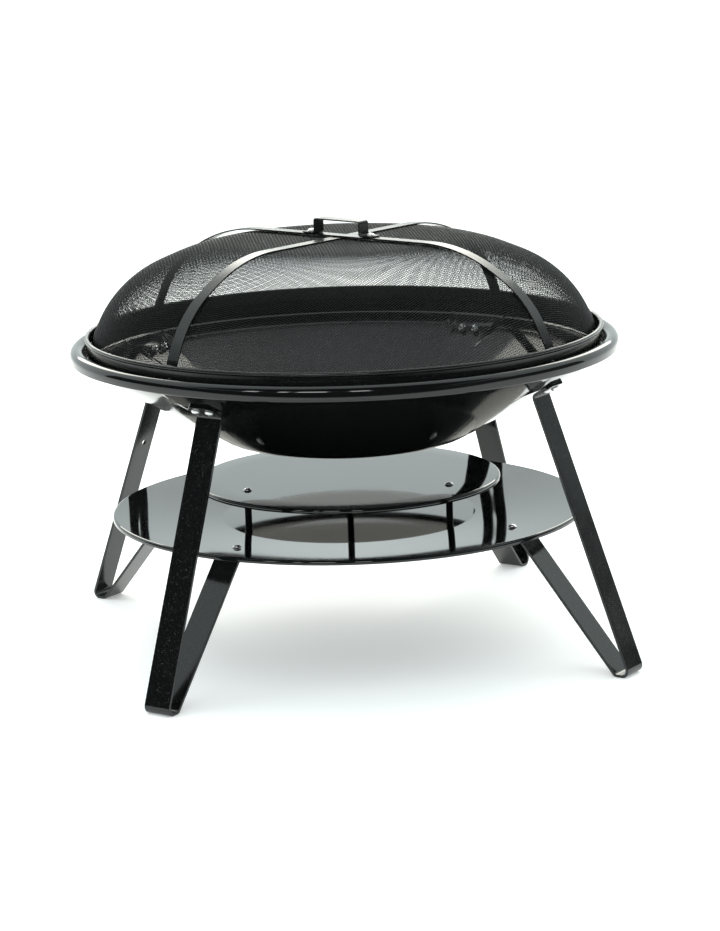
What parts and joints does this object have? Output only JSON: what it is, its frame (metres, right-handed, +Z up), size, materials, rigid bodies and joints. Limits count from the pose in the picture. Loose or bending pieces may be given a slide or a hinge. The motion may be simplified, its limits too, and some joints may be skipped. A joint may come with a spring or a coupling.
{
  "type": "fire pit with grate",
  "caption": "Round gloss black steel fire bowl on V-shaped strip legs, with a log grate, a domed mesh spark lid with strap bands and a handle, a heat shield and a lower shelf.",
  "frame": {"origin": "on the ground, under the middle of the bowl", "axes": "+Z up along the bowl's axis, +X and +Y across the bowl, with the legs on the diagonals between them and the front towards -Y"},
  "size_m": [0.76, 0.76, 0.59],
  "materials": {
    "bowl_enamel": "gloss black high-heat enamel",
    "leg_enamel": "gloss black powder coat on flat steel strip",
    "shelf_enamel": "mirror-gloss black enamel",
    "post_enamel": "gloss black enamel",
    "lid_enamel": "semi-gloss black enamel",
    "lid_rivets": "semi-gloss black enamel",
    "lid_mesh_wire": "satin black painted woven wire cloth, eight wires to the inch",
    "grate_steel": "matt high-heat black on welded steel rod",
    "zinc": "bright zinc plating"
  },
  "bodies": {
    "frame": {"bowl": "bowl_enamel", "leg_front_left": "leg_enamel", "leg_front_right": "leg_enamel", "leg_rear_right": "leg_enamel", "leg_rear_left": "leg_enamel", "shelf_plate": "shelf_enamel", "heat_shield": "shelf_enamel", "shield_post_1": "post_enamel", "shield_post_2": "post_enamel", "shield_post_3": "post_enamel", "bowl_bolt_front_left_1": "zinc", "bowl_bolt_front_left_2": "zinc", "bowl_bolt_front_right_1": "zinc", "bowl_bolt_front_right_2": "zinc", "bowl_bolt_rear_right_1": "zinc", "bowl_bolt_rear_right_2": "zinc", "bowl_bolt_rear_left_1": "zinc", "bowl_bolt_rear_left_2": "zinc", "bowl_nut_front_left_1": "zinc", "bowl_nut_front_left_2": "zinc", "bowl_nut_front_right_1": "zinc", "bowl_nut_front_right_2": "zinc", "bowl_nut_rear_right_1": "zinc", "bowl_nut_rear_right_2": "zinc", "bowl_nut_rear_left_1": "zinc", "bowl_nut_rear_left_2": "zinc", "shelf_bolt_front_left": "zinc", "shelf_bolt_front_right": "zinc", "shelf_bolt_rear_right": "zinc", "shelf_bolt_rear_left": "zinc", "shelf_nut_front_left": "zinc", "shelf_nut_front_right": "zinc", "shelf_nut_rear_right": "zinc", "shelf_nut_rear_left": "zinc", "shield_bolt_1": "zinc", "shield_bolt_2": "zinc", "shield_bolt_3": "zinc", "shield_nut_1": "zinc", "shield_nut_2": "zinc", "shield_nut_3": "zinc"},
    "lid": {"lid_ring": "lid_enamel", "lid_mesh": "lid_mesh_wire", "lid_strap_lower": "lid_enamel", "lid_strap_upper": "lid_enamel", "lid_handle": "lid_enamel", "handle_screw_1": "zinc", "handle_screw_2": "zinc", "handle_nut_1": "zinc", "handle_nut_2": "zinc", "strap_rivet_front_left": "lid_rivets", "strap_rivet_front_right": "lid_rivets", "strap_rivet_rear_right": "lid_rivets", "strap_rivet_rear_left": "lid_rivets"},
    "grate": {"fire_grate": "grate_steel"}
  },
  "joints": [
    {"name": "lid_lift", "type": "slide", "parent": "frame", "child": "lid", "axis": [0, 0, 1], "range_m": [0, 0.25]},
    {"name": "grate_lift", "type": "slide", "parent": "frame", "child": "grate", "axis": [0, 0, 1], "range_m": [0, 0.16]}
  ]
}
